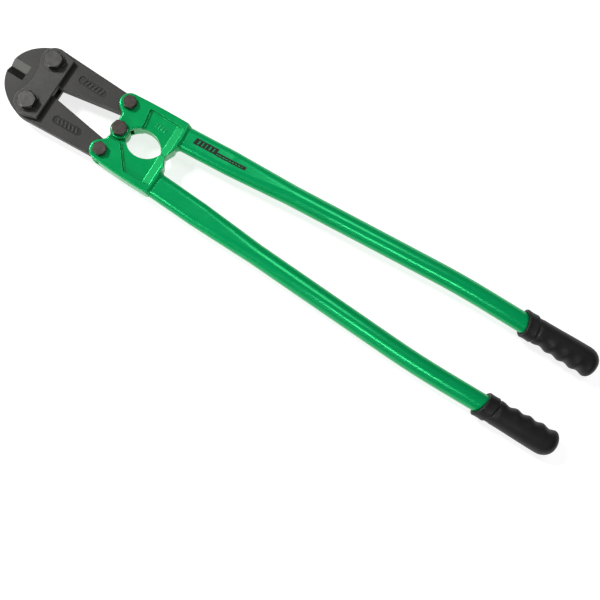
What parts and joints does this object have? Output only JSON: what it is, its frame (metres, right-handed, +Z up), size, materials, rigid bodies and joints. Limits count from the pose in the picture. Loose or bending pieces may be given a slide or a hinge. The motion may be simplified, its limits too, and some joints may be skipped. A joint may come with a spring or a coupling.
{
  "type": "bolt cutters",
  "caption": "Long-handled bolt cutters with compound linkage: bevelled steel jaws in strap plates, green arms and tube handles, black rubber grips.",
  "frame": {"origin": "centre of the object's box in plan, at its lowest point (the rear nuts' faces)", "axes": "+X from the jaws to the grips, +Y across the tool towards the upper handle, +Z up through the bolt heads"},
  "size_m": [0.9179, 0.1746, 0.0502],
  "materials": {
    "forged_steel": "phosphated forging, satin",
    "strap_steel": "phosphated plate, satin",
    "strap_fastener": "dark zinc, satin",
    "pivot_fastener": "brown-black oxide, satin",
    "washer_steel": "black oxide",
    "green_casting": "gloss enamel over a cast surface",
    "green_tube": "gloss enamel",
    "grip_rubber": "moulded rubber, satin"
  },
  "bodies": {
    "head": {"front_strap": "strap_steel", "rear_strap": "strap_steel", "upper_strap_bolt": "strap_fastener", "upper_strap_nut": "strap_fastener", "upper_strap_front_washer": "washer_steel", "upper_strap_rear_washer": "washer_steel", "lower_strap_bolt": "strap_fastener", "lower_strap_nut": "strap_fastener", "lower_strap_front_washer": "washer_steel", "lower_strap_rear_washer": "washer_steel"},
    "upper_jaw_body": {"upper_jaw": "forged_steel"},
    "lower_jaw_body": {"lower_jaw": "forged_steel"},
    "upper_handle": {"upper_arm": "green_casting", "upper_handle_tube": "green_tube", "upper_grip": "grip_rubber", "upper_tail_bolt": "pivot_fastener", "upper_tail_nut": "pivot_fastener", "upper_tail_washer": "washer_steel", "centre_bolt": "pivot_fastener", "centre_nut": "pivot_fastener", "centre_washer": "washer_steel"},
    "lower_handle": {"lower_arm": "green_casting", "lower_handle_tube": "green_tube", "lower_grip": "grip_rubber", "lower_tail_bolt": "pivot_fastener", "lower_tail_nut": "pivot_fastener", "lower_tail_washer": "washer_steel"}
  },
  "joints": [
    {"name": "upper_jaw_pivot", "type": "hinge", "parent": "head", "child": "upper_jaw_body", "pos_m": [-0.4093, 0.0325, 0.0251], "axis": [0, 0, 1], "range_deg": [-8.61, 0]},
    {"name": "upper_tail_pivot", "type": "hinge", "parent": "upper_jaw_body", "child": "upper_handle", "pos_m": [-0.2968, 0.038, 0.0251], "axis": [0, 0, 1], "range_deg": [0, 58.6]},
    {"name": "lower_jaw_pivot", "type": "hinge", "parent": "head", "child": "lower_jaw_body", "pos_m": [-0.4093, -0.0325, 0.0251], "axis": [0, 0, 1], "range_deg": [0, 8.61]},
    {"name": "lower_tail_pivot", "type": "hinge", "parent": "lower_jaw_body", "child": "lower_handle", "pos_m": [-0.2968, -0.038, 0.0251], "axis": [0, 0, 1], "range_deg": [-58.6, 0]}
  ],
  "couplings": [
    {"joint": "upper_jaw_pivot", "follows": "upper_tail_pivot", "ratio": -0.14676},
    {"joint": "lower_jaw_pivot", "follows": "upper_tail_pivot", "ratio": 0.14676},
    {"joint": "lower_tail_pivot", "follows": "upper_tail_pivot", "ratio": -1}
  ]
}
